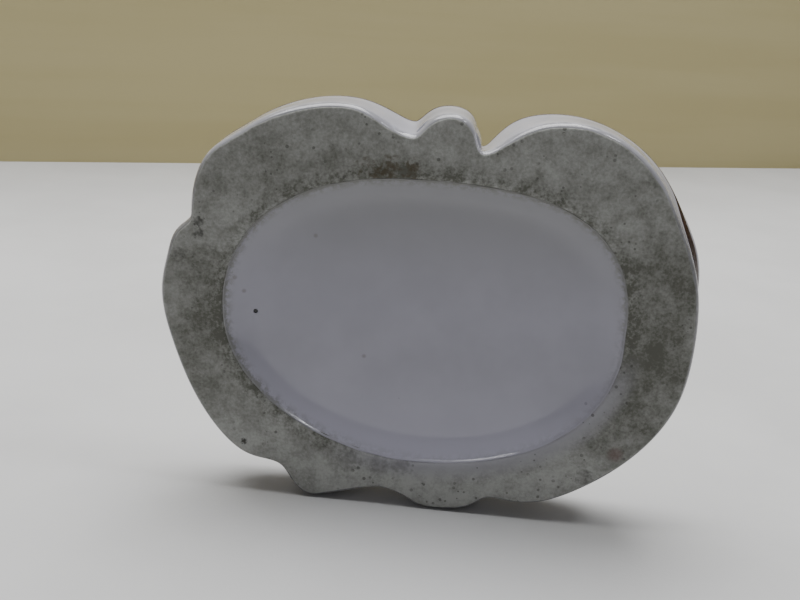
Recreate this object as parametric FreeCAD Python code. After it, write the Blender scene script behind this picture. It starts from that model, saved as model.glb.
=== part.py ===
import FreeCAD, Part
import math
import os

# Mixing palette of glazed porcelain in the outline of a butterfly.  Millimetres.
#
# Frame: the palette stands on its lower edge.  +Z is up, towards the butterfly's head.
# The flat unglazed foot faces -Y and the side with the four mixing wells faces +Y.
# Origin: middle of the bounding box in X and Y, and the surface it stands on in Z.
# While a piece is being made, Y is its depth behind the foot plane.  main() moves
# every piece to the origin before it is written.

# ---- outline of the butterfly, (x, z) along each lobe in turn, clockwise from the foot side ----
UPPER_LEFT_WING = [(-41.4, 51.1), (-41.3, 54.0), (-40.7, 57.6), (-38.4, 62.2), (-34.3, 65.4),
                   (-30.2, 68.1), (-22.0, 71.3), (-13.6, 71.6), (-7.8, 68.8)]
HEAD_LOBE = [(-4.0, 68.0), (-1.9, 70.3), (1.6, 71.7), (5.0, 70.3), (7.0, 66.2)]
UPPER_RIGHT_WING = [(11.1, 68.1), (15.2, 70.7), (21.6, 71.8), (29.4, 69.8), (36.3, 64.2), (40.8, 56.8)]
LOWER_RIGHT_WING = [(44.7, 48.2), (46.4, 35.0), (44.8, 23.8), (39.3, 14.6), (30.9, 7.2), (22.6, 3.2),
                    (17.0, 3.0), (13.6, 3.0)]
ABDOMEN_LOBE = [(11.4, 1.4), (8.3, 0.3), (4.9, 0.0), (1.6, 0.3), (-1.6, 1.9)]
TAIL_LOBE = [(-6.0, 3.0), (-11.6, 1.7), (-15.6, 0.6), (-18.8, 0.1), (-21.8, 2.3), (-24.2, 5.4)]
LOWER_LEFT_WING = [(-29.5, 6.7), (-34.8, 10.1), (-40.6, 18.3), (-44.6, 27.9), (-46.5, 38.0), (-45.4, 44.2),
                   (-43.3, 48.8)]
OUTLINE = (UPPER_LEFT_WING + HEAD_LOBE + UPPER_RIGHT_WING + LOWER_RIGHT_WING
           + ABDOMEN_LOBE + TAIL_LOBE + LOWER_LEFT_WING)

# ---- depths behind the foot plane ----
FOOT_THICKNESS = 0.8
RECESS_DEPTH = 3.2
WELL_FLOOR = 6.0
DECK = 9.6
RIM_CREST = 11.2
GLAZE = 0.4

# ---- side wall: (depth, distance outside the outline, share of the wing curl, share of the crown lean) ----
FOOT_INSET = 0.7          # the ground foot ends this far inside the outline
WALL = [(0.05, -0.65, 0.0, 0.0), (0.35, -0.15, 0.0, 0.0), (0.9, 0.18, 0.0, 0.0), (2.0, 0.3, 0.0, 0.15),
        (5.0, 0.3, 0.15, 0.5), (6.6, 0.3, 0.4, 0.7), (8.2, 0.3, 0.85, 0.9), (9.6, 0.05, 1.0, 1.0),
        (10.6, -0.6, 1.0, 1.0), (RIM_CREST, -1.5, 0.95, 0.9)]
RIM_INNER = [(DECK, -3.3, 0.9, 0.8), (10.3, -2.8, 0.95, 0.9), (RIM_CREST, -2.0, 0.95, 0.9),
             (RIM_CREST + 1.0, -1.6, 0.95, 0.9)]
WING_CURL = 1.9           # the right wing's rim curls outward this much above its widest place
CROWN_LEAN = 0.2          # the wall leans outward this much more at the rim along the upper wings
# extra lean on the wing ends beside the head, and a dip in the notch to its right: (x, lean, reach)
NOTCH_LEAN = [(-5.5, 1.0, 4.0), (12.6, 0.9, 3.6), (7.8, -2.2, 1.6)]

# ---- oval recess in the foot ----
RECESS_CENTRE = (-0.5, 34.9)
RECESS_HALF_WIDTH = 35.2
RECESS_HALF_HEIGHT = 26.0
# roundness of each quarter from the upper right anticlockwise, where 2 is an ellipse
RECESS_POWERS = [2.75, 2.35, 1.92, 2.16]
RECESS_POINTS = 24
RECESS_LIP = 0.25         # bare clay left above the recess glaze

# ---- mixing wells, (distance from the body line, z) around the right-hand mouths ----
BODY_X = 1.2
UPPER_WELL = [(8.8, 48.0), (10.0, 57.0), (16.0, 62.4), (24.6, 62.8), (31.0, 57.6), (33.0, 50.0), (28.6, 43.8),
              (19.0, 41.8), (12.0, 43.0)]
LOWER_WELL = [(8.6, 30.0), (12.0, 36.4), (20.0, 38.0), (30.0, 38.2), (37.0, 33.6), (37.0, 25.0), (31.6, 17.0),
              (23.4, 11.6), (14.0, 10.8), (9.6, 18.0)]
BOWL_PROFILE = [(-0.2, -0.1), (0.0, 0.0), (0.45, 0.9), (0.8, 2.2), (1.0, 4.6)]   # (share of depth, inward)

# ---- the butterfly's body in relief, down the middle of the well side ----
HEAD_CENTRE_Z = 65.8
HEAD_RADIUS = 5.8
HEAD_START = 2.0
HEAD_CREST = 13.0
THORAX_CENTRE_Z = 50.0
THORAX_HALF_LENGTH = 11.2
THORAX_RADIUS = 3.4
ABDOMEN_CENTRE_Z = 24.0
ABDOMEN_HALF_LENGTH = 18.0
ABDOMEN_RADIUS = 3.0
ANTENNA_PATH = [(3.6, 59.6), (10.4, 63.6), (20.6, 65.2)]            # (distance from the body line, z)
ANTENNA_RADIUS = 0.7

# ---- painted line under the rim, seen from above: (x, depth of its middle, width) ----
LINE_PATH = [(-52.0, 8.8, 1.3), (-30.0, 9.1, 1.2), (36.0, 9.4, 1.2), (40.0, 9.0, 1.3), (41.8, 7.3, 1.6),
             (43.5, 6.8, 1.6), (52.0, 6.8, 1.6)]
LINE_DEPTH = 0.25


def smoothstep(low, high, value):
    """0 below low, 1 above high and a smooth ramp between."""
    t = min(max((value - low) / (high - low), 0.0), 1.0)
    return t * t * (3.0 - 2.0 * t)


def curl_at(x, z):
    """Outward curl of the upper right wing, strongest along its outer side."""
    fade = 1.0 - 0.25 * smoothstep(52.0, 60.0, z)
    return WING_CURL * fade * smoothstep(30.0, 43.0, x) * smoothstep(38.0, 48.0, z)


def lean_at(x, z):
    """Outward lean of the wall at the rim, along the upper wings and more beside the head."""
    beside_head = sum(lean * math.exp(-((x - place) / reach) ** 2) for place, lean, reach in NOTCH_LEAN)
    return smoothstep(50.0, 62.0, z) * (CROWN_LEAN + beside_head)


def closed_curve(points, depth):
    """Smooth closed curve through (x, z) points on the plane at this depth."""
    curve = Part.BSplineCurve()
    curve.interpolate(Points=[FreeCAD.Vector(x, depth, z) for x, z in points], PeriodicFlag=True)
    return curve


def outward_normals(points):
    """Unit (x, z) normals that point out of a clockwise ring of (x, z) points."""
    curve = closed_curve(points, 0.0)
    normals = []
    for x, z in points:
        tangent = curve.tangent(curve.parameter(FreeCAD.Vector(x, 0.0, z)))[0]
        normals.append((-tangent.z, tangent.x))
    return normals


def ring_wire(points, depth, offsets):
    """Closed wire through points moved outward by their offsets."""
    moved = [(x + nx * gap, z + nz * gap)
             for (x, z), (nx, nz), gap in zip(points, outward_normals(points), offsets)]
    return Part.Wire(closed_curve(moved, depth).toShape())


def loft(wires):
    """Solid through closed wires, with smooth sides."""
    solid = Part.makeLoft(wires, True, False)
    if solid.Volume < 0:
        solid.reverse()
    return solid


def outline_block(levels, inset=0.0):
    """Solid whose section at each level follows the butterfly outline."""
    wires = []
    for depth, outside, curl, lean in levels:
        offsets = [outside - inset + curl * curl_at(x, z) + lean * lean_at(x, z) for x, z in OUTLINE]
        wires.append(ring_wire(OUTLINE, depth, offsets))
    return loft(wires)


def bowl(mouth, mouth_depth, floor_depth, inset=0.0):
    """Solid that fills a bowl-shaped hollow, from just outside its mouth to its flat floor."""
    drop = floor_depth - mouth_depth
    wires = []
    for share, inward in BOWL_PROFILE:
        wires.append(ring_wire(mouth, mouth_depth + share * drop, [-inward - inset] * len(mouth)))
    return loft(wires)


def recess_mouth():
    """(x, z) points around the oval recess, clockwise seen from the foot side."""
    points = []
    for i in range(RECESS_POINTS):
        angle = 2.0 * math.pi * (RECESS_POINTS - i) / RECESS_POINTS
        power = RECESS_POWERS[int(2.0 * angle / math.pi) % 4]
        reach = abs(math.cos(angle)) ** power + abs(math.sin(angle)) ** power
        radius = reach ** (-1.0 / power)
        points.append((RECESS_CENTRE[0] + RECESS_HALF_WIDTH * radius * math.cos(angle),
                       RECESS_CENTRE[1] + RECESS_HALF_HEIGHT * radius * math.sin(angle)))
    return points


def well_mouth(right_hand_mouth, side):
    """(x, z) points of a well's mouth, clockwise: side is +1 on the right and -1 on the left."""
    points = [(BODY_X + side * reach, z) for reach, z in right_hand_mouth]
    return points if side > 0 else points[::-1]


def slab(low, high):
    """Big plate between two depths, for trimming."""
    return Part.makeBox(140.0, high - low, 140.0, FreeCAD.Vector(-70.0, low, -30.0))


def swelling(centre_z, half_length, radius):
    """Half of a long ellipsoid that lies on the body line, flat side on the deck."""
    centre = FreeCAD.Vector(0, 0, 0)
    ellipse = Part.Ellipse(FreeCAD.Vector(0, 0, half_length), FreeCAD.Vector(radius, 0, 0), centre)
    arc = Part.ArcOfEllipse(ellipse, 0.0, math.pi).toShape()
    axis = Part.makeLine(FreeCAD.Vector(0, 0, -half_length), FreeCAD.Vector(0, 0, half_length))
    half_section = Part.Face(Part.Wire([arc, axis]))
    half = half_section.revolve(centre, FreeCAD.Vector(0, 0, 1), 180)
    half.translate(FreeCAD.Vector(BODY_X, DECK, centre_z))
    return half


WELLS = {
    "well_glaze_upper_left": well_mouth(UPPER_WELL, -1),
    "well_glaze_upper_right": well_mouth(UPPER_WELL, 1),
    "well_glaze_lower_left": well_mouth(LOWER_WELL, -1),
    "well_glaze_lower_right": well_mouth(LOWER_WELL, 1),
}


def recess_hollow(inset=0.0):
    """Oval hollow in the foot, or the same hollow lined with a coat as thick as the inset."""
    return bowl(recess_mouth(), 0.0, RECESS_DEPTH - inset, inset)


def well_hollow(mouth, inset=0.0):
    """One mixing well, from the top of the deck glaze down, or the same well lined with a coat."""
    return bowl(mouth, DECK + GLAZE, WELL_FLOOR + inset, inset)


def foot_plate():
    """The foot before its recess is cut."""
    return outline_block([(depth, -FOOT_INSET, 0.0, 0.0) for depth in (0.0, FOOT_THICKNESS)])


def foot_ring():
    """Flat unglazed foot: a thin plate around the oval recess, let into the tray."""
    return foot_plate().cut(recess_hollow())


def head_knob():
    """Round boss between the upper wings, domed on the well side."""
    base = FreeCAD.Vector(BODY_X, HEAD_START, HEAD_CENTRE_Z)
    dome_centre = FreeCAD.Vector(BODY_X, HEAD_CREST - HEAD_RADIUS, HEAD_CENTRE_Z)
    boss = Part.makeCylinder(HEAD_RADIUS, dome_centre.y - base.y, base, FreeCAD.Vector(0, 1, 0))
    return boss.fuse(Part.makeSphere(HEAD_RADIUS, dome_centre)).removeSplitter()


def rim_line_band():
    """Band that winds around the wall, as a strip seen from above and run up through the palette."""
    near_edge = [FreeCAD.Vector(x, depth - width / 2.0, -20.0) for x, depth, width in LINE_PATH]
    far_edge = [FreeCAD.Vector(x, depth + width / 2.0, -20.0) for x, depth, width in LINE_PATH]
    border = near_edge + far_edge[::-1]
    strip = Part.Face(Part.makePolygon(border + border[:1]))
    return strip.extrude(FreeCAD.Vector(0, 0, 120.0))


def rim_line(wall):
    """Brown line, flush with the wall and as deep as the enamel is thick."""
    core = outline_block(WALL, inset=LINE_DEPTH)
    return wall.cut(core).common(rim_line_band()).cut(head_knob())


def tray_body(wall, line):
    """Pressed porcelain tray: wall, rim, deck and the four hollows, with a seat for the foot."""
    body = wall
    for taken in (outline_block(RIM_INNER), foot_plate(), recess_hollow(), head_knob(), line):
        body = body.cut(taken)
    for mouth in WELLS.values():
        body = body.cut(well_hollow(mouth))
    return body


def recess_glaze():
    """Glossy coat in the oval recess, starting just inside its lip."""
    return recess_hollow().cut(recess_hollow(GLAZE)).common(slab(RECESS_LIP, RECESS_DEPTH + 1.0))


def well_glaze(mouth):
    """White coat in one mixing well, up to the top of the deck glaze."""
    return well_hollow(mouth).cut(well_hollow(mouth, GLAZE)).common(slab(0.0, DECK + GLAZE))


def body_relief():
    """Thorax and abdomen of the butterfly, two swellings on the deck; the thorax overlaps the other."""
    thorax = swelling(THORAX_CENTRE_Z, THORAX_HALF_LENGTH, THORAX_RADIUS).cut(head_knob())
    abdomen = swelling(ABDOMEN_CENTRE_Z, ABDOMEN_HALF_LENGTH, ABDOMEN_RADIUS).cut(thorax)
    return thorax, abdomen


def antenna(side):
    """Round feeler laid on the deck glaze from the thorax out along the upper wing."""
    start, middle, end = [FreeCAD.Vector(BODY_X + side * reach, DECK + GLAZE, z) for reach, z in ANTENNA_PATH]
    path = Part.Arc(start, middle, end)
    circle = Part.makeCircle(ANTENNA_RADIUS, start, path.tangent(path.FirstParameter)[0])
    feeler = Part.Wire(path.toShape()).makePipeShell([Part.Wire(circle)], True, True)
    bud = Part.makeSphere(1.7 * ANTENNA_RADIUS, end)
    return feeler.fuse(bud).common(slab(DECK + GLAZE, DECK + 20.0))


def deck_glaze(relief):
    """Olive coat on the deck, around the wells and the relief."""
    coat = outline_block(RIM_INNER).common(slab(DECK, DECK + GLAZE)).cut(head_knob())
    for mouth in WELLS.values():
        coat = coat.cut(well_hollow(mouth))
    for piece in relief:
        coat = coat.cut(piece)
    return coat


def build_pieces():
    """Every piece of the palette by its node name."""
    wall = outline_block(WALL)
    line = rim_line(wall)
    thorax, abdomen = body_relief()
    pieces = {
        "foot_ring": foot_ring(),
        "tray_body": tray_body(wall, line),
        "head_knob": head_knob(),
        "rim_line": line,
        "recess_glaze": recess_glaze(),
        "deck_glaze": deck_glaze([thorax, abdomen]),
        "thorax": thorax,
        "abdomen": abdomen,
        "antenna_left": antenna(-1).cut(thorax),
        "antenna_right": antenna(1).cut(thorax),
    }
    for name, mouth in WELLS.items():
        pieces[name] = well_glaze(mouth)
    return pieces


def main():
    os.makedirs("parts", exist_ok=True)
    pieces = build_pieces()
    box = Part.makeCompound(list(pieces.values())).optimalBoundingBox(False)
    to_origin = FreeCAD.Vector(-box.Center.x, -box.Center.y, -box.ZMin)
    for name, shape in pieces.items():
        shape.translate(to_origin)
        shape.exportStep("parts/" + name + ".step")


main()
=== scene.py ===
"""Looks of the butterfly-shaped porcelain mixing palette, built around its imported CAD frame."""
import math

import bmesh
import bpy
import numpy as np
from mathutils import Matrix, Vector, noise
from mathutils.bvhtree import BVHTree


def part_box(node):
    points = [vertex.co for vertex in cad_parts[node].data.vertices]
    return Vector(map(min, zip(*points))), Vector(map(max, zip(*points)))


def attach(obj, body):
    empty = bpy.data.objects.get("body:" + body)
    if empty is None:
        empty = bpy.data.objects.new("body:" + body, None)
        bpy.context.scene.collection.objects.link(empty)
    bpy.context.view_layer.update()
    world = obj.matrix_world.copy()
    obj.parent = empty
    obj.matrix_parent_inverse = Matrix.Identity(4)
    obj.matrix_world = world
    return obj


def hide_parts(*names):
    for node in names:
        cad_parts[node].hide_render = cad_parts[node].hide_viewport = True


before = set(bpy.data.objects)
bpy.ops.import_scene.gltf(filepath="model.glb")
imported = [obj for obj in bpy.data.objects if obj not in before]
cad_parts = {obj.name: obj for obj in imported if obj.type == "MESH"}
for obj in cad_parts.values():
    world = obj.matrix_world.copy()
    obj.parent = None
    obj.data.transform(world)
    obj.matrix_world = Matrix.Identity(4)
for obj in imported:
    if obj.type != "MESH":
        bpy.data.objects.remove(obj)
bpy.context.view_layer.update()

MM = 0.001
OUT_Y = Vector((0.0, 1.0, 0.0))
IN_Y = Vector((0.0, -1.0, 0.0))

# Camera, in millimetres in the part's frame: it looks down at the foot from a little to the right.
CAMERA_AT = (6.24, -178.0, 96.8)
CAMERA_AIM = (-4.72, -6.5, 39.9)
CAMERA_ROLL = math.radians(4.3)
CAMERA_LENS = 47.25
SENSOR_WIDTH = 36.0
NEAR_CLIP = 0.005

# Lights in metres and watts, all aimed at one place: (name, place, size, power, colour)
LIGHT_AIM = (0.0, 0.0, 0.03)
LIGHTS = [
    ("window_above", (-0.12, 0.22, 0.85), (0.9, 0.6), 14.0, (1.0, 1.0, 1.0)),
    ("room_front", (-0.5, -0.9, 0.6), (1.0, 0.8), 0.4, (0.93, 0.95, 1.0)),
    ("window_right", (0.45, -0.05, 0.75), (0.14, 0.14), 1.3, (0.95, 0.97, 1.0)),
]
ROOM_COLOUR = (0.80, 0.80, 0.82, 1.0)
ROOM_STRENGTH = 0.15

# Stage, in metres.
FLOOR_SIZE = 6.0
BACKDROP_AT = (-0.03, 0.318, 0.15)
BACKDROP_SIZE = (4.0, 0.3, 1.0)
BACKDROP_TURN = math.radians(22.7)

# How finely the pieces are drawn.
OUTLINE_SAMPLES = 620
BOWL_SAMPLES = 480
DECK_RINGS = 60
BOWL_RINGS = 56

# How far the tray lies under its coats, and how thick the coats are.
SUNK = 0.08 * MM
COAT = 0.2 * MM

# Profiles of edges, in millimetres.
# Worn inner lip of the foot: (away from the recess, behind the face)
FOOT_LIP = [(0.0, 0.32), (0.12, 0.19), (0.3, 0.10), (0.55, 0.04), (0.8, 0.01)]
# Outer edge of the foot, lapping over the wall: (outside the outline, behind the face)
FOOT_EDGE = [(0.0, 0.01), (0.22, 0.06), (0.34, 0.15), (0.3, 0.3), (-0.1, 0.7)]
# Rounded edge of the wall beside the foot: places behind the face
WALL_BEVEL = [0.22, 0.32, 0.48, 0.7, 1.0, 1.4, 1.9]
# Olive coat where it climbs the rim: the top of the climb, then (in from the rim, above the deck)
DECK_CLIMB_TOP = 0.55
DECK_CLIMB = [(0.15, 0.42), (0.4, 0.18), (0.75, 0.05)]
# Bead of white glaze round a well: (outside the mouth, above the deck)
WELL_BEAD = [(0.75, -0.15), (0.7, 0.02), (0.52, 0.16), (0.25, 0.22),
             (0.0, 0.17), (-0.22, 0.02), (-0.42, -0.25)]
# Thin edge of the recess glaze: (outside its mouth, behind it)
RECESS_EDGE = [(0.12, 0.25), (0.0, 0.05), (-0.12, 0.12), (-0.28, 0.45)]
# Section of the painted line: (share of its half width, height over the wall)
LINE_SECTION = [(-1.0, -0.15), (-1.0, 0.02), (-0.9, 0.05), (-0.5, 0.07), (0.0, 0.075),
                (0.5, 0.07), (0.9, 0.05), (1.0, 0.02), (1.0, -0.15)]


# ---------------------------------------------------------------- camera, light and stage

def add_camera():
    camera = bpy.data.objects.new("camera", bpy.data.cameras.new("camera"))
    bpy.context.collection.objects.link(camera)
    camera.data.lens = CAMERA_LENS
    camera.data.sensor_width = SENSOR_WIDTH
    camera.data.clip_start = NEAR_CLIP
    camera.location = Vector(CAMERA_AT) * MM
    sight = (Vector(CAMERA_AIM) - Vector(CAMERA_AT)).to_track_quat("-Z", "Y")
    camera.rotation_euler = (sight.to_matrix() @ Matrix.Rotation(CAMERA_ROLL, 3, "Z")).to_euler()
    bpy.context.scene.camera = camera


def add_area_light(name, place, size, power, colour):
    light = bpy.data.lights.new(name, "AREA")
    light.shape = "RECTANGLE"
    light.size, light.size_y = size
    light.energy = power
    light.color = colour
    lamp = bpy.data.objects.new(name, light)
    bpy.context.collection.objects.link(lamp)
    lamp.location = place
    lamp.rotation_euler = (Vector(LIGHT_AIM) - Vector(place)).to_track_quat("-Z", "Y").to_euler()


def add_lights():
    for light in LIGHTS:
        add_area_light(*light)
    world = bpy.data.worlds.new("soft_room")
    world.use_nodes = True
    background = world.node_tree.nodes["Background"]
    background.inputs["Color"].default_value = ROOM_COLOUR
    background.inputs["Strength"].default_value = ROOM_STRENGTH
    bpy.context.scene.world = world


def add_floor(material):
    bpy.ops.mesh.primitive_plane_add(size=FLOOR_SIZE, location=(0.0, 0.0, 0.0))
    floor = bpy.context.object
    floor.name = "floor"
    floor.data.materials.append(material)


def add_backdrop(material):
    """Low plain wall behind the palette, turned a little against it."""
    bpy.ops.mesh.primitive_plane_add(size=1.0, location=BACKDROP_AT)
    backdrop = bpy.context.object
    backdrop.name = "backdrop"
    backdrop.scale = BACKDROP_SIZE
    backdrop.rotation_euler = (0.5 * math.pi, 0.0, BACKDROP_TURN)
    backdrop.data.materials.append(material)


# ---------------------------------------------------------------- reading shapes from the frame

def node_tree(*names):
    """Ray-casting tree over the meshes of these CAD nodes."""
    points, polygons = [], []
    for name in names:
        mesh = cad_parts[name].data
        base = len(points)
        points += [vertex.co.copy() for vertex in mesh.vertices]
        polygons += [[base + v for v in polygon.vertices] for polygon in mesh.polygons]
    return BVHTree.FromPolygons(points, polygons)


def face_loops(name, depth):
    """Border loops of a CAD node's flat face at this Y, as (n, 2) arrays of x and z, longest first."""
    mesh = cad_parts[name].data
    on_plane = [abs(vertex.co.y - depth) < 1e-6 for vertex in mesh.vertices]
    uses = {}
    for polygon in mesh.polygons:
        if all(on_plane[v] for v in polygon.vertices):
            for edge in polygon.edge_keys:
                uses[edge] = uses.get(edge, 0) + 1
    links = {}
    for (a, b), count in uses.items():
        if count == 1:
            links.setdefault(a, []).append(b)
            links.setdefault(b, []).append(a)
    loops = []
    while links:
        start = next(iter(links))
        chain, current = [start], links.pop(start)[0]
        while current != start:
            chain.append(current)
            ahead = [v for v in links.pop(current) if v in links]
            current = ahead[0] if ahead else start
        loops.append(np.array([[mesh.vertices[v].co.x, mesh.vertices[v].co.z] for v in chain]))
    return sorted(loops, key=lambda loop: -np.ptp(loop[:, 0]))


def counter_clockwise(loop):
    """The same loop, turned round if it runs clockwise."""
    x, z = loop[:, 0], loop[:, 1]
    area = np.sum(x * np.roll(z, -1) - z * np.roll(x, -1))
    return loop if area > 0 else loop[::-1]


def blur_ring(values, width, axis=0):
    """Gaussian blur round a closed ring of samples."""
    reach = int(3 * width) + 1
    weights = np.exp(-0.5 * (np.arange(-reach, reach + 1) / width) ** 2)
    weights /= weights.sum()
    return sum(w * np.roll(values, k, axis=axis) for k, w in zip(range(-reach, reach + 1), weights))


def resample(loop, count, blur=1.2):
    """Evenly spaced points round a closed loop, counter-clockwise, starting on its right."""
    loop = counter_clockwise(loop)
    loop = np.roll(loop, -int(np.argmax(loop[:, 0])), axis=0)
    closed = np.vstack([loop, loop[:1]])
    run = np.concatenate([[0.0], np.cumsum(np.hypot(*np.diff(closed, axis=0).T))])
    even = np.linspace(0.0, run[-1], count, endpoint=False)
    ring = np.stack([np.interp(even, run, closed[:, k]) for k in (0, 1)], axis=1)
    return blur_ring(ring, blur)


def outward(ring):
    """Unit outward normals of a counter-clockwise ring."""
    along = np.roll(ring, -1, axis=0) - np.roll(ring, 1, axis=0)
    normal = np.stack([along[:, 1], -along[:, 0]], axis=1)
    return normal / np.linalg.norm(normal, axis=1)[:, None]


def ring_at_angles(loop, centre, angles):
    """Points of a star-shaped loop at these angles round a centre."""
    about = resample(loop, 1440) - centre
    turn = np.unwrap(np.arctan2(about[:, 1], about[:, 0]))
    reach = np.hypot(about[:, 0], about[:, 1])
    order = np.argsort(np.mod(turn, 2 * math.pi))
    radius = np.interp(np.mod(angles, 2 * math.pi), np.mod(turn, 2 * math.pi)[order], reach[order],
                       period=2 * math.pi)
    return centre + radius[:, None] * np.stack([np.cos(angles), np.sin(angles)], axis=1)


# ---------------------------------------------------------------- building meshes

FAR_FROM_LIP = 99.0


def grid_mesh(name, rings, closed_profile=False, cap_first=False, cap_last=False, lip=None):
    """Mesh from equally long closed rings of 3-D points; caps are fans to the ring's middle.

    With a lip, an (n, 2) ring of x and z, each point also carries its distance from it in millimetres.
    """
    count = len(rings[0])
    points = np.concatenate(rings)
    faces = []
    pairs = list(zip(range(len(rings) - 1), range(1, len(rings))))
    if closed_profile:
        pairs.append((len(rings) - 1, 0))
    for a, b in pairs:
        for i in range(count):
            j = (i + 1) % count
            faces.append((a * count + i, a * count + j, b * count + j, b * count + i))
    extra = []
    for wanted, ring_index, flip in ((cap_first, 0, False), (cap_last, len(rings) - 1, True)):
        if wanted:
            middle = len(points) + len(extra)
            extra.append(rings[ring_index].mean(axis=0))
            for i in range(count):
                a, b = ring_index * count + i, ring_index * count + (i + 1) % count
                faces.append((middle, a, b) if flip else (middle, b, a))
    if extra:
        points = np.vstack([points, extra])
    mesh = bpy.data.meshes.new(name)
    mesh.from_pydata(points.tolist(), [], faces)
    mesh.validate()
    if lip is not None:
        away = [np.linalg.norm(ring[:, [0, 2]] - lip, axis=1) / MM for ring in rings]
        from_lip = mesh.attributes.new("from_lip", "FLOAT", "POINT")
        away.append(np.full(len(extra), FAR_FROM_LIP))
        from_lip.data.foreach_set("value", np.concatenate(away).astype(np.float32))
    return mesh


def facing_out(mesh):
    """Turns all faces outward."""
    work = bmesh.new()
    work.from_mesh(mesh)
    bmesh.ops.recalc_face_normals(work, faces=work.faces)
    work.to_mesh(mesh)
    work.free()


def add_piece(name, mesh, material, replaced):
    """Finished piece: smooth, turned outward, on the palette's one body."""
    facing_out(mesh)
    mesh.polygons.foreach_set("use_smooth", [True] * len(mesh.polygons))
    mesh.materials.append(material)
    piece = bpy.data.objects.new(name, mesh)
    bpy.context.collection.objects.link(piece)
    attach(piece, "root")
    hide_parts(*replaced)


def with_depth(ring, depth):
    """3-D ring from (x, z) points and one Y, or one Y each."""
    depths = np.broadcast_to(depth, len(ring))
    return np.stack([ring[:, 0], depths, ring[:, 1]], axis=1)


def shake(points, size, amount, seed):
    """Smooth hand-made unevenness: a noise value for each 3-D point, at this feature size."""
    shift = Vector((seed * 3.7, seed * 1.3, seed * 7.9))
    return amount * np.array([noise.noise(Vector(p) / size + shift) for p in points])


# ---------------------------------------------------------------- the palette's own outline and wall

def fill_gaps(offsets):
    """Bridges samples that missed the wall, as where the head stands, and blurs the rest a little."""
    good = np.isfinite(offsets)
    index = np.arange(len(offsets))
    filled = np.interp(index, index[good], offsets[good], period=len(offsets))
    return blur_ring(filled, 2.0)


class Wall:
    """The foot's outline, sampled evenly, and the distance of the side wall outside it at each Y."""

    # Distances outside the outline where inward rays start on open ground and outward rays start.
    OPEN_START = 5 * MM
    NEAR_START = 0.9 * MM
    # How far rays look for the wall, and from the rim's crest for its inner face.
    REACH = 8 * MM
    RIM_REACH = 3.5 * MM

    def __init__(self):
        low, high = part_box("foot_ring")
        self.foot_y, self.tray_y = low.y, high.y
        self.deck_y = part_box("deck_glaze")[1].y
        self.rim_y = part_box("tray_body")[1].y
        loops = face_loops("foot_ring", self.foot_y)
        self.ring = resample(loops[0], OUTLINE_SAMPLES)
        self.normal = outward(self.ring)
        self.recess_loop = loops[1]
        self.tree = node_tree("foot_ring", "tray_body", "rim_line")
        self.body_tree = node_tree("tray_body")
        self.centre = self.recess_loop.mean(axis=0)
        spokes = self.ring - self.centre
        self.angles = np.arctan2(spokes[:, 1], spokes[:, 0])
        self.hollow = self.at_same_angles(face_loops("tray_body", self.tray_y)[1])
        self.starts = self.clear_starts()
        self.crest = self.outside(self.rim_y - 0.05 * MM) - 0.3 * MM

    def at_same_angles(self, loop):
        """Points of a loop round the recess at the same angles as the outline's samples."""
        return ring_at_angles(loop, self.centre, self.angles)

    def clear_starts(self):
        """Distances outside the foot's outline that are clear of the wall, halfway across a notch."""
        starts = np.full(len(self.ring), self.OPEN_START)
        for i, ((x, z), (nx, nz)) in enumerate(zip(self.ring, self.normal)):
            near = Vector((x + self.NEAR_START * nx, self.foot_y + 0.5 * MM, z + self.NEAR_START * nz))
            hit = self.tree.ray_cast(near, Vector((nx, 0.0, nz)), self.REACH)
            if hit[0] is not None:
                starts[i] = self.NEAR_START + 0.5 * hit[3]
        return starts

    def distance_to(self, tree, depth):
        """Distance outside the outline where rays from outside meet the tree, nan where they miss it."""
        found = np.full(len(self.ring), np.nan)
        for i, ((x, z), (nx, nz), start) in enumerate(zip(self.ring, self.normal, self.starts)):
            place = Vector((x + start * nx, depth, z + start * nz))
            hit = tree.ray_cast(place, Vector((-nx, 0.0, -nz)), self.REACH)
            # A ray that starts inside the other side of a notch meets that side from within.
            if hit[0] is not None and nx * hit[1].x + nz * hit[1].z > 0.0:
                found[i] = start - hit[3]
        return found

    def outside(self, depth):
        """Distance of the wall's outer face outside the foot's outline, at this Y."""
        return fill_gaps(self.distance_to(self.tree, depth))

    def inside(self, depth):
        """Distance of the rim's inner face outside the foot's outline, at this Y above the deck."""
        found = np.full(len(self.ring), np.nan)
        for i, ((x, z), (nx, nz), crest) in enumerate(zip(self.ring, self.normal, self.crest)):
            start = Vector((x + crest * nx, depth, z + crest * nz))
            hit = self.body_tree.ray_cast(start, Vector((-nx, 0.0, -nz)), self.RIM_REACH)
            if hit[0] is not None:
                found[i] = crest - hit[3]
        return fill_gaps(found)

    def at(self, offsets, depth):
        """Ring of 3-D points at these distances outside the foot's outline."""
        return with_depth(self.ring + self.normal * np.reshape(offsets, (-1, 1)), depth)


def shrink(ring, centre, share):
    """The ring drawn in towards a centre to this share of its size."""
    return centre + share * (ring - centre)


def depth_from(tree, ring, toward, missing):
    """Y where rays along Y first meet the tree over each (x, z) point; missing where they meet nothing."""
    start_y = -0.05 * toward.y
    depths = np.full(len(ring), missing)
    for i, (x, z) in enumerate(ring):
        hit = tree.ray_cast(Vector((x, start_y, z)), toward)
        if hit[0] is not None:
            depths[i] = hit[0].y
    return depths


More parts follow.
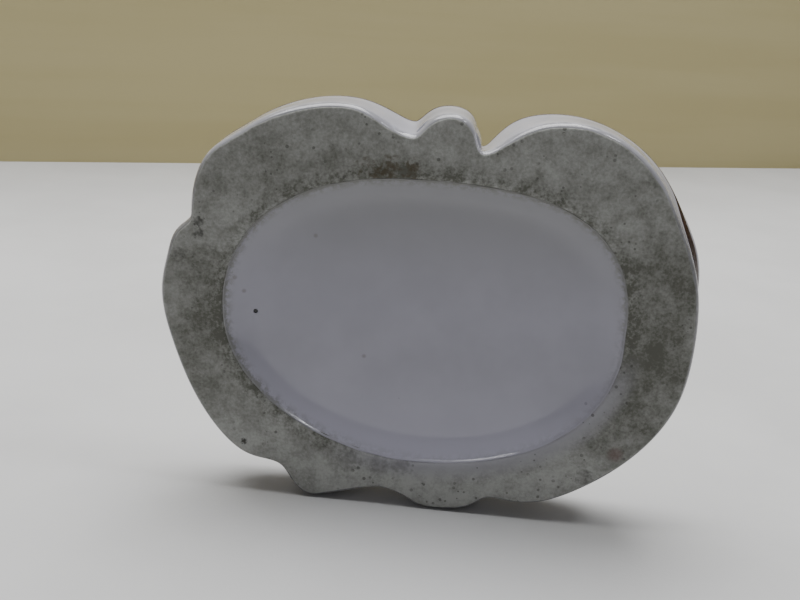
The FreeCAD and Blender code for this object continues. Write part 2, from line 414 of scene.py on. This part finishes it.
def foot_ring_piece(wall, material):
    """Flat ground foot: a closed ring with a worn inner lip and a rounded outer edge."""
    lip = wall.at_same_angles(wall.recess_loop)
    lip_out = outward(lip)
    face = wall.foot_y
    seat = face + 0.7 * MM
    rings = [with_depth(wall.hollow, wall.tray_y), with_depth(0.5 * (lip + wall.hollow), face + 0.55 * MM)]
    for away, down in FOOT_LIP:
        rings.append(with_depth(lip + away * MM * lip_out, face + down * MM))
    inner = lip + 1.1 * MM * lip_out
    outer = wall.ring - 0.55 * MM * wall.normal
    for share in np.linspace(0.0, 1.0, 34):
        rings.append(with_depth((1 - share) * inner + share * outer, face))
    creep = shake(wall.at(0.0, 0.0), size=2.5 * MM, amount=0.12 * MM, seed=12)
    for away, down in FOOT_EDGE:
        rings.append(wall.at(away * MM + creep * (away > 0), face + down * MM))
    for share in (0.3, 0.6):
        rings.append(with_depth((1 - share) * wall.ring + share * wall.hollow, seat))
    for ring in rings:
        ring[:, 1] += shake(ring, size=9 * MM, amount=0.05 * MM, seed=1) * (ring[:, 1] < seat)
    mesh = grid_mesh("foot_ring_ground", rings, closed_profile=True, lip=lip)
    add_piece("foot_ring_ground", mesh, material, ["foot_ring"])


def rim_rings(wall):
    """Rings from the glazed edge round the foot, up the outer wall, over the rim and down to the deck."""
    rings = [wall.at(-0.5 * MM, wall.foot_y + 0.5 * MM), wall.at(0.0, wall.foot_y + 0.15 * MM)]
    bevel = np.array(WALL_BEVEL) * MM + wall.foot_y
    rounding = 0.45 * MM
    for depth in np.concatenate([bevel, np.linspace(bevel[-1] + 0.5 * MM, wall.rim_y - 0.9 * MM, 20)]):
        rings.append(wall.at(wall.outside(depth), depth))
    outer_lip = wall.outside(wall.rim_y - rounding)
    inner_lip = wall.inside(wall.rim_y - rounding)
    crest = 0.5 * (outer_lip + inner_lip)
    half = 0.5 * (outer_lip - inner_lip)
    for turn in np.linspace(0.0, math.pi, 11):
        depth = wall.rim_y - rounding + rounding * math.sin(turn)
        rings.append(wall.at(crest + half * math.cos(turn), depth))
    for depth in np.linspace(wall.rim_y - 0.8 * MM, wall.deck_y + 0.1 * MM, 5):
        rings.append(wall.at(wall.inside(depth), depth))
    return rings


def tray_body_piece(wall, material):
    """Pressed tray: recess ceiling, hidden seat of the foot, wall, rim, deck and hollows of the wells."""
    rings = []
    for share in np.linspace(0.02, 1.0, 40):
        ring = shrink(wall.hollow, wall.centre, share)
        rings.append(with_depth(ring, depth_from(wall.body_tree, ring, OUT_Y, wall.tray_y) + SUNK))
    for ring in rim_rings(wall):
        ring += shake(ring, size=12 * MM, amount=0.06 * MM, seed=2)[:, None] * with_depth(wall.normal, 0.0)
        rings.append(ring)
    deck_edge = rings[-1][:, [0, 2]]
    for share in np.linspace(0.99, 0.02, DECK_RINGS):
        ring = shrink(deck_edge, wall.centre, share)
        rings.append(with_depth(ring, depth_from(wall.body_tree, ring, IN_Y, wall.deck_y) - SUNK))
    mesh = grid_mesh("tray_pressed", rings, cap_first=True, cap_last=True)
    add_piece("tray_pressed", mesh, material, ["tray_body"])


def closed_coat(name, surface, thickness, lip=None):
    """Closed thin sheet from rings of its visible surface; its back lies this thickness towards +Y."""
    behind = [ring + np.array([0.0, thickness, 0.0]) for ring in surface]
    return grid_mesh(name, surface[::-1] + behind, cap_first=True, cap_last=True, lip=lip)


def deck_glaze_piece(wall, material):
    """Olive coat over the deck; it climbs a little up the rim and dips under the glaze of the wells."""
    deck_tree = node_tree("deck_glaze")
    climb = wall.inside(wall.deck_y + 0.5 * MM) + SUNK
    wander = shake(wall.at(climb, wall.deck_y), size=5 * MM, amount=0.25 * MM, seed=3)
    surface = [wall.at(climb, wall.deck_y + DECK_CLIMB_TOP * MM + wander)]
    for inward, up in DECK_CLIMB:
        surface.append(wall.at(climb - inward * MM, wall.deck_y + up * MM + (up / DECK_CLIMB_TOP) * wander))
    edge = wall.at(climb - 1.1 * MM, wall.deck_y)[:, [0, 2]]
    for share in np.linspace(1.0, 0.02, DECK_RINGS):
        ring = shrink(edge, wall.centre, share)
        on_deck = depth_from(deck_tree, ring, IN_Y, np.nan)
        in_well = depth_from(wall.body_tree, ring, IN_Y, wall.deck_y - 0.4 * MM) + 0.15 * MM
        ring = with_depth(ring, np.where(np.isfinite(on_deck), on_deck, in_well))
        ring[:, 1] += shake(ring, size=6 * MM, amount=0.08 * MM, seed=4) * np.isfinite(on_deck)
        surface.append(ring)
    mesh = closed_coat("deck_coat", surface, -COAT)
    add_piece("deck_coat", mesh, material, ["deck_glaze"])


def smooth_rings(rings, rounds, fixed):
    """Evens the depth of inner rings along the profile and around; the first rings stay as they are."""
    depths = np.stack([ring[:, 1] for ring in rings])
    for _ in range(rounds):
        around = blur_ring(depths, 1.0, axis=1)
        along = around.copy()
        along[1:-1] = 0.25 * around[:-2] + 0.5 * around[1:-1] + 0.25 * around[2:]
        depths[fixed:] = along[fixed:]
    for ring, depth in zip(rings, depths):
        ring[:, 1] = depth
    return rings


def well_piece(wall, node, material):
    """White coat of one mixing well, with a soft bead where it laps over the deck glaze."""
    tree = node_tree(node)
    mouth = resample(face_loops(node, wall.deck_y)[0], BOWL_SAMPLES)
    normal = outward(mouth)
    centre = mouth.mean(axis=0)
    rings = []
    for away, up in WELL_BEAD:
        rings.append(with_depth(mouth + away * MM * normal, wall.deck_y + up * MM))
    inner = mouth - 0.55 * MM * normal
    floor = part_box(node)[0].y + 0.4 * MM
    for share in np.linspace(1.0, 0.03, BOWL_RINGS):
        ring = shrink(inner, centre, share)
        rings.append(with_depth(ring, depth_from(tree, ring, IN_Y, floor)))
    rings = smooth_rings(rings, rounds=6, fixed=len(WELL_BEAD))
    for ring in rings:
        ring[:, 1] += shake(ring, size=8 * MM, amount=0.06 * MM, seed=5)
    mesh = closed_coat(node + "_coat", rings, -COAT)
    add_piece(node + "_coat", mesh, material, [node])


def recess_glaze_piece(wall, material):
    """Cool white coat of the oval recess, its edge thinning out just inside the lip of the foot."""
    low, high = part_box("recess_glaze")
    tree = node_tree("recess_glaze")
    mouth = resample(face_loops("recess_glaze", low.y)[0], BOWL_SAMPLES)
    normal = outward(mouth)
    centre = mouth.mean(axis=0)
    wander = shake(with_depth(mouth, 0.0), size=4 * MM, amount=0.12 * MM, seed=6)
    rings = []
    for away, down in RECESS_EDGE:
        rings.append(with_depth(mouth + (away * MM + wander)[:, None] * normal, low.y + down * MM))
    inner = mouth - 0.5 * MM * normal
    ceiling = high.y - 0.4 * MM
    for share in np.linspace(1.0, 0.02, BOWL_RINGS):
        ring = shrink(inner, centre, share)
        rings.append(with_depth(ring, depth_from(tree, ring, OUT_Y, ceiling)))
    rings = smooth_rings(rings, rounds=14, fixed=len(RECESS_EDGE))
    for ring in rings:
        ring[:, 1] += shake(ring, size=14 * MM, amount=0.12 * MM, seed=7)
    mesh = closed_coat("recess_coat", rings, COAT, lip=mouth)
    add_piece("recess_coat", mesh, material, ["recess_glaze"])


def head_piece(material):
    """Round head boss with a soft dome, turned about the Y axis."""
    low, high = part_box("head_knob")
    radius = 0.5 * (high.x - low.x)
    centre = np.array([0.5 * (low.x + high.x), 0.5 * (low.z + high.z)])
    shoulder = high.y - radius
    profile = [(radius * share, low.y) for share in (0.1, 0.5, 0.85)]
    profile += [(radius, low.y + share * (shoulder - low.y)) for share in np.linspace(0.02, 0.98, 20)]
    profile += [(radius * math.cos(turn), shoulder + radius * math.sin(turn))
                for turn in np.linspace(0.0, 0.48 * math.pi, 22)]
    turns = np.linspace(0.0, 2 * math.pi, 160, endpoint=False)
    circle = np.stack([np.cos(turns), np.sin(turns)], axis=1)
    rings = []
    for reach, depth in profile:
        ring = with_depth(centre + reach * circle, depth)
        swell = 1.0 + shake(ring, size=7 * MM, amount=0.02, seed=8)[:, None]
        ring[:, [0, 2]] = centre + (ring[:, [0, 2]] - centre) * swell
        rings.append(ring)
    mesh = grid_mesh("head_boss", rings, cap_first=True, cap_last=True)
    add_piece("head_boss", mesh, material, ["head_knob"])


def swelling_piece(node, material, segments, seed):
    """Half-egg relief on the deck, cut into this many segments by shallow cross grooves."""
    low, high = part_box(node)
    centre = np.array([0.5 * (low.x + high.x), 0.5 * (low.z + high.z)])
    half_x, half_z, crest = 0.5 * (high.x - low.x), 0.5 * (high.z - low.z), high.y - low.y
    turns = np.linspace(0.0, 2 * math.pi, 180, endpoint=False)
    outline = np.stack([half_x * np.cos(turns), half_z * np.sin(turns)], axis=1)
    rings = [with_depth(centre + outline, low.y - 0.3 * MM)]
    for turn in np.linspace(0.0, 0.49 * math.pi, 40):
        ring = with_depth(centre + math.cos(turn) * outline, low.y + crest * math.sin(turn))
        if segments:
            wave = 0.5 + 0.5 * np.cos(2 * math.pi * segments * (ring[:, 2] - low.z) / (2 * half_z))
            ring[:, 1] -= 0.32 * MM * math.sin(turn) * wave ** 4
        ring[:, 1] += shake(ring, size=4 * MM, amount=0.10 * MM, seed=seed) * math.sin(turn)
        rings.append(ring)
    mesh = grid_mesh(node + "_relief", rings, cap_first=True, cap_last=True)
    add_piece(node + "_relief", mesh, material, [node])


def antenna_piece(node, material):
    """Thin tapering feeler on the deck with a round bud at its tip."""
    low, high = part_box(node)
    bud = 1.36 * MM
    inset = 0.4 * MM
    base_x, tip_x = (low.x, high.x - bud) if low.x > 0 else (high.x, low.x + bud)
    base = np.array([base_x, low.z + inset])
    tip = np.array([tip_x, high.z - bud])
    bend = np.array([base_x + 0.42 * (tip_x - base_x), tip[1] - inset])
    rings = []
    turns = np.linspace(0.0, 2 * math.pi, 24, endpoint=False)
    steps = 70
    for k in range(steps + 1):
        t = k / steps
        place = (1 - t) ** 2 * base + 2 * t * (1 - t) * bend + t * t * tip
        along = 2 * (1 - t) * (bend - base) + 2 * t * (tip - bend)
        along /= np.linalg.norm(along)
        across = np.array([-along[1], along[0]])
        to_tip = (1.0 - t) * np.linalg.norm(tip - base)
        radius = (0.85 - 0.3 * t) * MM
        if to_tip < bud:
            radius = max(radius, math.sqrt(bud * bud - (bud - to_tip) ** 2) if to_tip > 0 else 0.3 * MM)
        flat = place + np.outer(np.cos(turns) * radius, across)
        rings.append(with_depth(flat, low.y - 0.05 * MM + 0.85 * radius * np.sin(turns)))
    mesh = grid_mesh(node + "_relief", rings, cap_first=True, cap_last=True)
    add_piece(node + "_relief", mesh, material, [node])


def rim_line_piece(wall, material):
    """Hand-painted line on the wall: it follows the CAD line, with a wavering width."""
    tree = node_tree("rim_line")
    level_step = 0.12 * MM
    blur = 4.0
    near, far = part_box("rim_line")
    levels = np.arange(near.y, far.y, level_step)
    painted = np.array([np.isfinite(wall.distance_to(tree, depth)) for depth in levels])
    low = np.where(painted.any(axis=0), levels[painted.argmax(axis=0)], np.nan)
    high = np.where(painted.any(axis=0), levels[len(levels) - 1 - painted[::-1].argmax(axis=0)], np.nan)
    middle, half = 0.5 * (low + high), 0.5 * (high - low)
    middle = blur_ring(fill_gaps(middle), blur)
    waver = shake(with_depth(wall.ring, 0.0), size=7 * MM, amount=1.0, seed=9)
    half = blur_ring(fill_gaps(half), blur) * (1.0 + 0.3 * waver)
    grid = [(depth, wall.outside(depth)) for depth in np.linspace(levels[0] - MM, levels[-1] + MM, 40)]
    depth_steps = np.array([depth for depth, _ in grid])
    offset_steps = np.stack([offsets for _, offsets in grid])

    def on_wall(depths, lift):
        """Ring that lies on the wall at these depths, lifted off it."""
        offsets = [np.interp(depth, depth_steps, steps) for depth, steps in zip(depths, offset_steps.T)]
        return wall.at(np.array(offsets) + lift, depths)

    rings = []
    for share, lift in LINE_SECTION:
        rings.append(on_wall(middle + share * half, lift * MM))
    mesh = grid_mesh("rim_line_brushed", rings, closed_profile=True)
    add_piece("rim_line_brushed", mesh, material, ["rim_line"])


# ---------------------------------------------------------------- materials

class Look:
    """One material, built from procedural nodes; lengths are in millimetres in the part's frame."""

    def __init__(self, name):
        self.material = bpy.data.materials.new(name)
        self.material.use_nodes = True
        self.tree = self.material.node_tree
        self.shader = self.tree.nodes["Principled BSDF"]
        place = self.tree.nodes.new("ShaderNodeTexCoord").outputs["Object"]
        self.place = self.vector("MULTIPLY", place, (1000.0, 1000.0, 1000.0))
        self.flat_place = self.vector("MULTIPLY", self.place, (1.0, 0.0, 1.0))

    def feed(self, socket, value):
        """Gives an input either another node's output or a plain value."""
        if isinstance(value, bpy.types.NodeSocket):
            self.tree.links.new(value, socket)
        else:
            socket.default_value = value

    def vector(self, operation, first, second, result="Vector"):
        node = self.tree.nodes.new("ShaderNodeVectorMath")
        node.operation = operation
        self.feed(node.inputs[0], first)
        self.feed(node.inputs[1], second)
        return node.outputs[result]

    def separate(self, vector):
        node = self.tree.nodes.new("ShaderNodeSeparateXYZ")
        self.feed(node.inputs[0], vector)
        return node.outputs

    def math(self, operation, first, second=0.0):
        node = self.tree.nodes.new("ShaderNodeMath")
        node.operation = operation
        self.feed(node.inputs[0], first)
        self.feed(node.inputs[1], second)
        return node.outputs[0]

    def noise(self, size, detail=4.0, roughness=0.55, stretch=(1.0, 1.0, 1.0)):
        """Cloudy values around 0.5 with features of this size."""
        node = self.tree.nodes.new("ShaderNodeTexNoise")
        self.feed(node.inputs["Vector"], self.vector("MULTIPLY", self.place, stretch))
        self.feed(node.inputs["Scale"], 1.0 / size)
        self.feed(node.inputs["Detail"], detail)
        self.feed(node.inputs["Roughness"], roughness)
        return node.outputs["Fac"]

    def specks(self, spacing, size):
        """1 inside tiny round specks scattered at about this spacing, 0 between them."""
        node = self.tree.nodes.new("ShaderNodeTexVoronoi")
        self.feed(node.inputs["Vector"], self.place)
        self.feed(node.inputs["Scale"], 1.0 / spacing)
        chance = self.separate(node.outputs["Color"])[0]
        reach = self.math("MULTIPLY", chance, size / spacing)
        return self.math("LESS_THAN", node.outputs["Distance"], reach)

    def from_lip(self):
        """Distance from the lip of the oval recess, which its two neighbouring pieces carry."""
        node = self.tree.nodes.new("ShaderNodeAttribute")
        node.attribute_name = "from_lip"
        return node.outputs["Fac"]

    def ramp(self, value, low, high, start=0.0, end=1.0):
        """Smooth change from start to end while the value goes from low to high."""
        node = self.tree.nodes.new("ShaderNodeMapRange")
        node.interpolation_type = "SMOOTHSTEP"
        for name, number in (("From Min", low), ("From Max", high), ("To Min", start), ("To Max", end)):
            self.feed(node.inputs[name], number)
        self.feed(node.inputs["Value"], value)
        return node.outputs["Result"]

    def spot(self, x, z, radius, edge, ragged=0.0):
        """1 inside a round patch seen from the foot side, fading to 0 over the edge width."""
        distance = self.vector("DISTANCE", self.flat_place, (x, 0.0, z), "Value")
        if ragged:
            wander = self.ramp(self.noise(radius * 0.6), 0.3, 0.7, -ragged, ragged)
            distance = self.math("ADD", distance, wander)
        return self.ramp(distance, radius - 0.5 * edge, radius + 0.5 * edge, 1.0, 0.0)

    def add(self, *shares):
        """Sum of shares, held between 0 and 1."""
        total = shares[0]
        for share in shares[1:]:
            total = self.math("ADD", total, share)
        node = self.tree.nodes.new("ShaderNodeClamp")
        self.feed(node.inputs["Value"], total)
        return node.outputs["Result"]

    def times(self, first, second):
        return self.math("MULTIPLY", first, second)

    def blend(self, share, first, second):
        """Colour between the first (share 0) and the second (share 1)."""
        node = self.tree.nodes.new("ShaderNodeMix")
        node.data_type = "RGBA"
        self.feed(node.inputs[0], share)
        for socket, colour in ((node.inputs[6], first), (node.inputs[7], second)):
            self.feed(socket, (*colour, 1.0) if isinstance(colour, tuple) else colour)
        return node.outputs[2]

    def bump(self, height, depth):
        """Relief of this depth in millimetres under the surface normal."""
        node = self.tree.nodes.new("ShaderNodeBump")
        self.feed(node.inputs["Height"], height)
        self.feed(node.inputs["Distance"], depth * MM)
        self.feed(node.inputs["Strength"], 1.0)
        previous = self.shader.inputs["Normal"]
        if previous.is_linked:
            self.feed(node.inputs["Normal"], previous.links[0].from_socket)
        self.feed(previous, node.outputs["Normal"])

    def base_colour(self):
        """What feeds the base colour so far."""
        return self.shader.inputs["Base Color"].links[0].from_socket

    def finish(self, colour, roughness, shine=0.5):
        self.feed(self.shader.inputs["Base Color"], colour)
        self.feed(self.shader.inputs["Roughness"], roughness)
        self.feed(self.shader.inputs["Specular IOR Level"], shine)
        return self.material


# Dirt on the ground foot: (x, z, radius, how much darker)
DARK_PATCHES = [
    (-41.0, 41.0, 6.0, 0.20), (-37.5, 30.0, 6.0, 0.22), (-30.5, 20.5, 5.0, 0.12), (39.5, 44.0, 8.0, 0.34),
    (41.0, 29.0, 8.0, 0.32), (34.0, 17.0, 6.0, 0.16), (-18.0, 11.0, 4.0, 0.10), (-24.0, 61.0, 8.0, 0.12),
    (-8.0, 61.5, 5.0, 0.20), (9.0, 9.5, 5.0, 0.10),
]
# Cleaner places, those along the bottom also painted light: (x, z, radius, how much paler)
PALE_PATCHES = [
    (-14.0, 3.0, 7.0, 0.34), (3.0, 3.0, 8.0, 0.44), (16.0, 5.0, 8.0, 0.36), (28.0, 9.0, 6.0, 0.24),
    (-28.0, 11.0, 7.0, 0.26), (28.0, 61.0, 6.0, 0.10), (-3.0, 67.5, 5.0, 0.05),
]
# Small dark marks: (x, z, radius, strength); the first two darken the foot at the crevice of the left
# notch, the rest are smudges
DARK_MARKS = [
    (-40.3, 50.6, 0.9, 0.75), (-40.1, 48.4, 0.8, 0.7), (-43.7, 44.4, 1.1, 0.5), (30.8, 9.8, 1.3, 0.6),
    (-31.3, 10.0, 0.5, 0.9), (-12.0, 7.9, 2.2, 0.35), (-6.5, 8.0, 1.8, 0.3), (-2.5, 8.6, 2.0, 0.35),
]
# Brown stains: (x, z, radius)
BROWN_STAINS = [(-11.5, 61.9, 1.5), (-8.0, 62.3, 1.6), (-4.5, 62.6, 1.3)]
# A reddish stain on the foot: (x, z, radius, edge)
RED_STAIN = (35.5, 14.9, 1.2, 1.4)
# A dark pinhole in the recess: (x, z)
PINHOLE = (-30.4, 34.4)
# Faint marks in the recess: (x, z)
FAINT_MARKS = [(-10.6, 27.8), (-20.3, 49.2), (-34.0, 40.7), (-32.5, 38.1)]

# Colours, as linear red, green and blue; a glaze has one where it lies thick and one where it is thin.
CLEAN_CLAY = (0.42, 0.425, 0.405)
DIRTY_CLAY = (0.112, 0.113, 0.094)
WASHED_CLAY = (0.345, 0.342, 0.37)
MARK_BLACK = (0.035, 0.033, 0.028)
STAIN_BROWN = (0.075, 0.058, 0.033)
STAIN_RED = (0.17, 0.085, 0.08)
PEPPER = (0.06, 0.058, 0.05)
DUST = (0.07, 0.06, 0.05)
MILKY = ((0.47, 0.465, 0.50), (0.40, 0.40, 0.455))
# Grime and painted shade on the white glaze just above the foot.
MILKY_GRIME_AND_SHADE = (0.185, 0.183, 0.18)
LAVENDER = ((0.375, 0.368, 0.43), (0.345, 0.34, 0.395))
# Painted shade for the top of the recess, painted light for its bottom.
LAVENDER_PAINTED_SHADE = (0.275, 0.275, 0.278)
LAVENDER_PAINTED_LIGHT = (0.50, 0.49, 0.585)
LAVENDER_GRIME = (0.20, 0.20, 0.175)
PINHOLE_BLACK = (0.008, 0.008, 0.008)
FAINT_BROWN = (0.20, 0.18, 0.17)
OLIVE = ((0.30, 0.33, 0.10), (0.42, 0.44, 0.19))
BROWN = ((0.085, 0.035, 0.02), (0.16, 0.075, 0.035))
WELL_WHITE = ((0.66, 0.66, 0.65), (0.59, 0.60, 0.60))
ENAMEL = ((0.020, 0.008, 0.007), (0.050, 0.018, 0.013))
FLOOR_TONES = ((0.56, 0.56, 0.56), (0.60, 0.60, 0.60))
BACKDROP_TONES = ((0.51, 0.445, 0.24), (0.535, 0.47, 0.26))


def up_left_of(look, low, high):
    """How far a place lies up and to the left of the recess's middle, as a share of the recess."""
    centre = 0.5 * (low + high) / MM
    half = 0.5 * (high - low) / MM
    from_middle = look.vector("SUBTRACT", look.flat_place, (centre.x, 0.0, centre.z))
    across, _, up = look.separate(look.vector("DIVIDE", from_middle, (half.x, 1.0, half.z)))
    return look.math("SUBTRACT", up, look.times(across, 0.6))


def biscuit_look(recess_low, recess_high):
    """Bare clay, ground flat and stained grey by years of table tops."""
    look = Look("biscuit_clay")
    clouds = look.ramp(look.noise(9.0, 3.0), 0.32, 0.68, -0.12, 0.12)
    mottle = look.ramp(look.noise(2.4, 5.0, 0.65), 0.30, 0.70, -0.18, 0.18)
    grain = look.ramp(look.noise(0.55, 4.0, 0.7), 0.28, 0.72, -0.15, 0.15)
    dirt = look.add(0.50, clouds, mottle, grain)
    for x, z, radius, more in DARK_PATCHES:
        dirt = look.math("ADD", dirt, look.times(look.spot(x, z, radius, 1.6 * radius), more))
    # Paler patches: cleaner clay, and along the bottom painted light.
    for x, z, radius, less in PALE_PATCHES:
        dirt = look.math("ADD", dirt, look.times(look.spot(x, z, radius, 1.6 * radius), -less))
    up_left = up_left_of(look, recess_low, recess_high)
    near_lip = look.ramp(look.from_lip(), 0.0, 3.6, 1.0, 0.0)
    dirty_side = look.ramp(up_left, -1.05, -0.55)
    ragged = look.ramp(look.noise(2.2, 5.0, 0.7), 0.38, 0.62)
    dirt = look.add(dirt, look.times(look.times(near_lip, dirty_side), look.times(ragged, 0.42)))
    colour = look.blend(dirt, CLEAN_CLAY, DIRTY_CLAY)
    wide_lip = look.ramp(look.from_lip(), 0.0, 4.5, 1.0, 0.0)
    clean_side = look.times(wide_lip, look.ramp(up_left, -1.05, -0.6, 0.9, 0.0))
    colour = look.blend(clean_side, colour, WASHED_CLAY)
    # Small dark marks; the first two darken the crevice of the left notch.
    for x, z, radius, strength in DARK_MARKS:
        mark = look.spot(x, z, radius, radius, 0.5 * radius)
        broken = look.times(mark, look.ramp(look.noise(0.9), 0.30, 0.60, 0.25, 1.0))
        colour = look.blend(look.times(broken, strength), colour, MARK_BLACK)
    for x, z, radius in BROWN_STAINS:
        stain = look.spot(x, z, radius, radius, 0.7 * radius)
        broken = look.times(stain, look.ramp(look.noise(1.9), 0.36, 0.52))
        colour = look.blend(look.times(broken, 0.7), colour, STAIN_BROWN)
    colour = look.blend(look.times(look.spot(*RED_STAIN), 0.45), colour, STAIN_RED)
    peppered = look.times(look.specks(1.1, 0.34), look.ramp(look.noise(6.0), 0.45, 0.6))
    colour = look.blend(look.times(peppered, 0.6), colour, PEPPER)
    look.bump(look.noise(0.45, 3.0, 0.7), 0.05)
    look.bump(look.noise(2.4, 3.0), 0.10)
    return look.finish(colour, look.ramp(dirt, 0.2, 0.9, 0.95, 0.75), 0.25)


def glaze(look, colours, cloud_size, roughness=(0.06, 0.16), ripple=0.04, specks=0.5):
    """Fired glaze: two tones in clouds, faint ripples, pinholes, a few dark specks and hazy patches."""
    clouds = look.ramp(look.noise(cloud_size, 3.0), 0.35, 0.68)
    tone = look.blend(clouds, *colours)
    dust = look.times(look.specks(7.5, 0.32), specks)
    tone = look.blend(dust, tone, DUST)
    haze = look.ramp(look.noise(2.6, 4.0, 0.65), 0.40, 0.75, *roughness)
    look.bump(look.noise(4.5, 1.0), ripple)
    look.bump(look.noise(0.9, 2.0), 0.12 * ripple)
    look.bump(look.specks(5.0, 0.22), -0.03)
    return look.finish(tone, haze)


def white_glaze_look(foot_y):
    """Milky glaze of the tray and the head, darker where it rounds over to the bare foot: grime, and
    painted shade where the wall turns away from the light.
    """
    look = Look("white_glaze")
    material = glaze(look, MILKY, 9.0)
    tone = look.base_colour()
    _, depth, height = look.separate(look.place)
    # Grime and painted shade: a grey band just above the foot, weaker over the top lobes.
    above_foot = look.math("SUBTRACT", depth, foot_y / MM)
    wander = look.ramp(look.noise(2.4, 4.0, 0.65), 0.3, 0.7, -0.5, 0.5)
    edge = look.ramp(look.math("ADD", above_foot, wander), 0.8, 1.7, 1.0, 0.0)
    low_down = look.ramp(height, 57.0, 64.0, 1.0, 0.5)
    darkening = look.times(look.times(edge, low_down), look.ramp(look.noise(1.0, 5.0, 0.7), 0.3, 0.7, 0.7, 1.0))
    look.feed(look.shader.inputs["Base Color"], look.blend(darkening, tone, MILKY_GRIME_AND_SHADE))
    return material


def recess_glaze_look(recess_low, recess_high):
    """Cool white glaze of the oval recess: lavender, with painted shade greying it above and painted light
    paling it below, with pinholes, dust and a dirty edge.
    """
    look = Look("recess_glaze")
    material = glaze(look, LAVENDER, 12.0, roughness=(0.10, 0.22), ripple=0.05, specks=0.35)
    tone = look.base_colour()
    height = look.separate(look.place)[2]
    # Painted shade: the upper half of the recess greys towards its top.
    grey = look.ramp(height, 0.5 * (recess_low.z + recess_high.z) / MM, recess_high.z / MM)
    tone = look.blend(look.times(grey, 0.8), tone, LAVENDER_PAINTED_SHADE)
    # Painted light: the lowest part of the recess turns paler.
    pale = look.ramp(height, recess_low.z / MM, recess_low.z / MM + 20.0, 1.0, 0.0)
    tone = look.blend(look.times(pale, 0.8), tone, LAVENDER_PAINTED_LIGHT)
    up_left = up_left_of(look, recess_low, recess_high)
    near_lip = look.ramp(look.from_lip(), 0.2, 2.0, 1.0, 0.0)
    patchy = look.times(near_lip, look.ramp(look.noise(1.1, 5.0, 0.7), 0.40, 0.62))
    creep = look.add(patchy, look.ramp(look.from_lip(), 0.0, 0.7, 0.8, 0.0))
    darkening = look.times(creep, look.ramp(up_left, -1.0, 0.0, 0.2, 0.75))
    tone = look.blend(darkening, tone, LAVENDER_GRIME)
    tone = look.blend(look.spot(*PINHOLE, 0.38, 0.15), tone, PINHOLE_BLACK)
    for x, z in FAINT_MARKS:
        tone = look.blend(look.times(look.spot(x, z, 0.35, 0.4), 0.55), tone, FAINT_BROWN)
    look.bump(look.spot(*PINHOLE, 0.38, 0.2), -0.15)
    look.feed(look.shader.inputs["Base Color"], tone)
    return material


def olive_glaze_look():
    """Olive glaze of the deck, pooled in clouds."""
    return glaze(Look("olive_glaze"), OLIVE, 7.0, ripple=0.07)


def brown_glaze_look():
    """Brown glaze of the butterfly's body."""
    return glaze(Look("brown_glaze"), BROWN, 4.0, roughness=(0.08, 0.2), ripple=0.06, specks=0.2)


def well_glaze_look():
    """Warm white glaze of the mixing wells."""
    return glaze(Look("well_glaze"), WELL_WHITE, 10.0, ripple=0.05)


def brown_enamel_look():
    """Dark reddish brown paint, thinner and redder in places."""
    look = Look("brown_enamel")
    streaks = look.ramp(look.noise(1.8, 4.0, 0.6, (1.0, 2.5, 1.0)), 0.35, 0.70)
    tone = look.blend(streaks, *ENAMEL)
    look.bump(look.noise(1.2, 3.0), 0.03)
    return look.finish(tone, look.ramp(look.noise(1.5), 0.35, 0.7, 0.18, 0.4))


def floor_look():
    """Plain pale matt sheet with a trace of weave and unevenness."""
    look = Look("floor")
    tone = look.blend(look.ramp(look.noise(60.0, 4.0), 0.35, 0.65), *FLOOR_TONES)
    look.bump(look.noise(0.8, 2.0), 0.04)
    return look.finish(tone, look.ramp(look.noise(9.0), 0.3, 0.7, 0.85, 0.95), 0.2)


def backdrop_look():
    """Plain matt ochre wall with faint clouds."""
    look = Look("backdrop")
    tone = look.blend(look.ramp(look.noise(60.0, 3.0), 0.35, 0.65), *BACKDROP_TONES)
    return look.finish(tone, 0.95, 0.1)


def main():
    add_camera()
    add_lights()
    add_floor(floor_look())
    add_backdrop(backdrop_look())
    wall = Wall()
    recess_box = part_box("recess_glaze")
    white = white_glaze_look(wall.foot_y)
    foot_ring_piece(wall, biscuit_look(*recess_box))
    tray_body_piece(wall, white)
    head_piece(white)
    recess_glaze_piece(wall, recess_glaze_look(*recess_box))
    deck_glaze_piece(wall, olive_glaze_look())
    well_white = well_glaze_look()
    for row in ("upper", "lower"):
        for side in ("left", "right"):
            well_piece(wall, f"well_glaze_{row}_{side}", well_white)
    brown = brown_glaze_look()
    swelling_piece("thorax", brown, segments=0, seed=10)
    swelling_piece("abdomen", brown, segments=6, seed=11)
    enamel = brown_enamel_look()
    antenna_piece("antenna_left", enamel)
    antenna_piece("antenna_right", enamel)
    rim_line_piece(wall, enamel)


main()
